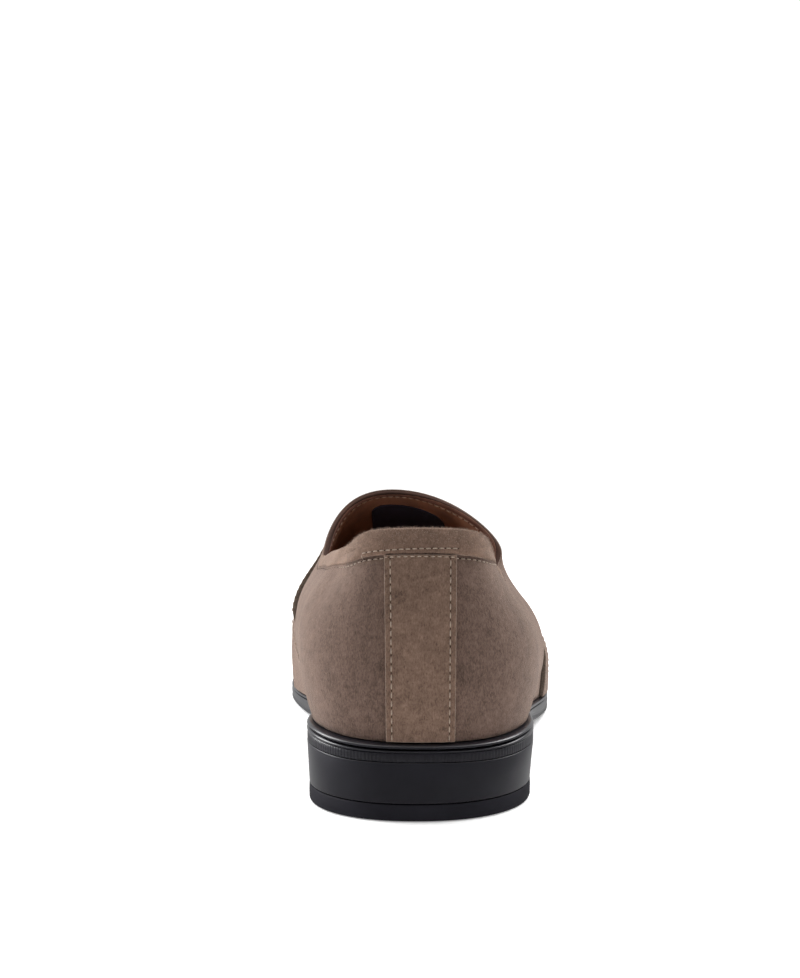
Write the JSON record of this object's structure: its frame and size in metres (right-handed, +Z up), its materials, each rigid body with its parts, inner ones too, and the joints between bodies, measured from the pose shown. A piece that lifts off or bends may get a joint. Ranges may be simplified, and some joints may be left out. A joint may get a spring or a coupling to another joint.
{
  "type": "loafer",
  "caption": "Low slip-on suede loafer for the right foot: hollow upper with folded collar, back strip and saddle band on a welted black sole with a low stacked heel.",
  "frame": {"origin": "On the floor, under the middle of the shoe's box", "axes": "+Z up, +Y towards the toe, +X towards the outer side of the foot"},
  "size_m": [0.107, 0.307, 0.0905],
  "materials": {
    "lift_rubber": "matte black rubber",
    "heel_gloss": "polished black",
    "sole_black": "satin black, finely reeded edge",
    "lining_leather": "smooth dark brown leather",
    "suede": "taupe suede with a short nap"
  },
  "bodies": {
    "root": {"top_lift": "lift_rubber", "heel_block": "heel_gloss", "outsole": "sole_black", "welt": "sole_black", "insole": "lining_leather", "upper": "suede", "collar": "suede", "back_strip": "suede", "saddle_strap": "suede"}
  },
  "joints": []
}
